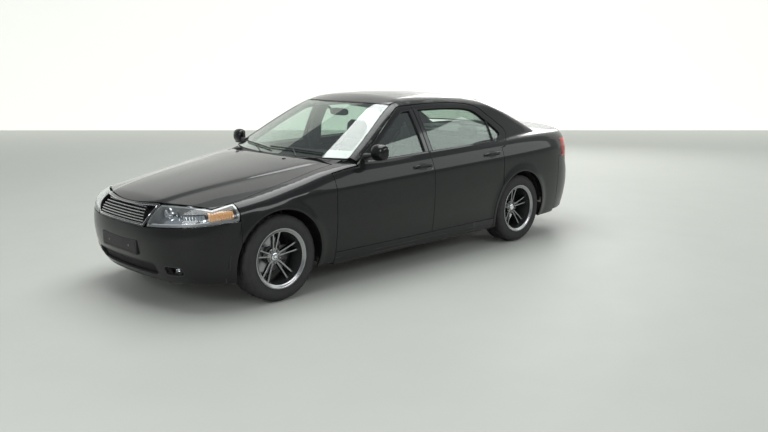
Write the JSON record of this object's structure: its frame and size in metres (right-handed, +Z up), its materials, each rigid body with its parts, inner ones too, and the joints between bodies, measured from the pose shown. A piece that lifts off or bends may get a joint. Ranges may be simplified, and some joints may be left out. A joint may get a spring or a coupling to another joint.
{
  "type": "four-door saloon car",
  "caption": "Mid-size executive saloon car with opening doors, bonnet and boot lid, free-turning wheels and working steering.",
  "frame": {"origin": "on the ground under the middle of the car's overall box", "axes": "+X forward, +Y to the car's left, +Z up"},
  "size_m": [4.848, 2.08, 1.4675],
  "materials": {
    "body_paint": "gloss metallic",
    "underbody": "satin",
    "glass": "clear, slightly green",
    "lamp_clear": "clear",
    "lamp_red": "clear red",
    "trim_plastic": "matte",
    "dash_plastic": "soft grain",
    "seat_cloth": "woven",
    "alloy": "bright silver lacquer",
    "tyre": "matte",
    "cast_metal": "cast",
    "steel": "satin"
  },
  "bodies": {
    "body_shell": {"floor_pan": "underbody", "side_frames": "body_paint", "roof_panel": "body_paint", "firewall": "underbody", "rear_bulkhead": "trim_plastic", "front_frame": "underbody", "front_fenders": "body_paint", "rear_quarter_panels": "body_paint", "front_bumper": "body_paint", "rear_bumper": "body_paint", "grille": "trim_plastic", "headlamps": "lamp_clear", "tail_lamps": "lamp_red", "windshield": "glass", "rear_window": "glass", "wheel_liners": "trim_plastic", "engine_block": "cast_metal", "radiator": "cast_metal", "gearbox": "cast_metal", "exhaust": "steel", "fuel_tank": "trim_plastic", "front_suspension": "cast_metal", "rear_suspension": "cast_metal", "dashboard": "dash_plastic", "center_console": "dash_plastic", "front_seats": "seat_cloth", "rear_seat": "seat_cloth", "wipers": "trim_plastic"},
    "hood": {"hood": "body_paint"},
    "trunk_lid": {"trunk_lid": "body_paint"},
    "steering_wheel": {"steering_wheel": "dash_plastic"},
    "front_door_left": {"front_door_left": "body_paint", "front_door_glass_left": "glass", "mirror_left": "body_paint"},
    "rear_door_left": {"rear_door_left": "body_paint", "rear_door_glass_left": "glass"},
    "knuckle_left": {"front_knuckle_left": "cast_metal"},
    "wheel_front_left": {"wheel_front_left": "alloy", "tyre_front_left": "tyre"},
    "wheel_rear_left": {"wheel_rear_left": "alloy", "tyre_rear_left": "tyre"},
    "front_door_right": {"front_door_right": "body_paint", "front_door_glass_right": "glass", "mirror_right": "body_paint"},
    "rear_door_right": {"rear_door_right": "body_paint", "rear_door_glass_right": "glass"},
    "knuckle_right": {"front_knuckle_right": "cast_metal"},
    "wheel_front_right": {"wheel_front_right": "alloy", "tyre_front_right": "tyre"},
    "wheel_rear_right": {"wheel_rear_right": "alloy", "tyre_rear_right": "tyre"}
  },
  "joints": [
    {"name": "front_door_left_hinge", "type": "hinge", "parent": "body_shell", "child": "front_door_left", "pos_m": [0.994, 0.89539, 0.64], "axis": [0, 0, -1], "range_deg": [0, 65]},
    {"name": "rear_door_left_hinge", "type": "hinge", "parent": "body_shell", "child": "rear_door_left", "pos_m": [-0.112, 0.89982, 0.64], "axis": [0, 0, -1], "range_deg": [0, 65]},
    {"name": "steer_left", "type": "hinge", "parent": "body_shell", "child": "knuckle_left", "pos_m": [1.588, 0.674, 0.2], "axis": [0, -0.1808, 0.9835], "range_deg": [-33, 33]},
    {"name": "wheel_front_left_spin", "type": "hinge", "parent": "knuckle_left", "child": "wheel_front_left", "pos_m": [1.588, 0.777, 0.328], "axis": [0, 1, 0], "continuous": true},
    {"name": "wheel_rear_left_spin", "type": "hinge", "parent": "body_shell", "child": "wheel_rear_left", "pos_m": [-1.3, 0.777, 0.328], "axis": [0, 1, 0], "continuous": true},
    {"name": "front_door_right_hinge", "type": "hinge", "parent": "body_shell", "child": "front_door_right", "pos_m": [0.994, -0.89539, 0.64], "axis": [0, 0, 1], "range_deg": [0, 65]},
    {"name": "rear_door_right_hinge", "type": "hinge", "parent": "body_shell", "child": "rear_door_right", "pos_m": [-0.112, -0.89982, 0.64], "axis": [0, 0, 1], "range_deg": [0, 65]},
    {"name": "steer_right", "type": "hinge", "parent": "body_shell", "child": "knuckle_right", "pos_m": [1.588, -0.674, 0.2], "axis": [0, 0.1808, 0.9835], "range_deg": [-33, 33]},
    {"name": "wheel_front_right_spin", "type": "hinge", "parent": "knuckle_right", "child": "wheel_front_right", "pos_m": [1.588, -0.777, 0.328], "axis": [0, 1, 0], "continuous": true},
    {"name": "wheel_rear_right_spin", "type": "hinge", "parent": "body_shell", "child": "wheel_rear_right", "pos_m": [-1.3, -0.777, 0.328], "axis": [0, 1, 0], "continuous": true},
    {"name": "hood_hinge", "type": "hinge", "parent": "body_shell", "child": "hood", "pos_m": [0.985, 0, 0.922], "axis": [0, -1, 0], "range_deg": [0, 55]},
    {"name": "trunk_lid_hinge", "type": "hinge", "parent": "body_shell", "child": "trunk_lid", "pos_m": [-1.828, 0, 1.085], "axis": [0, 1, 0], "range_deg": [0, 75]},
    {"name": "steering_wheel_turn", "type": "hinge", "parent": "body_shell", "child": "steering_wheel", "pos_m": [0.468, 0.372, 0.872], "axis": [-0.9135, 0, 0.4067], "range_deg": [-500, 500]}
  ],
  "couplings": [
    {"joint": "steer_right", "follows": "steer_left", "ratio": 1},
    {"joint": "steering_wheel_turn", "follows": "steer_left", "ratio": 15}
  ]
}
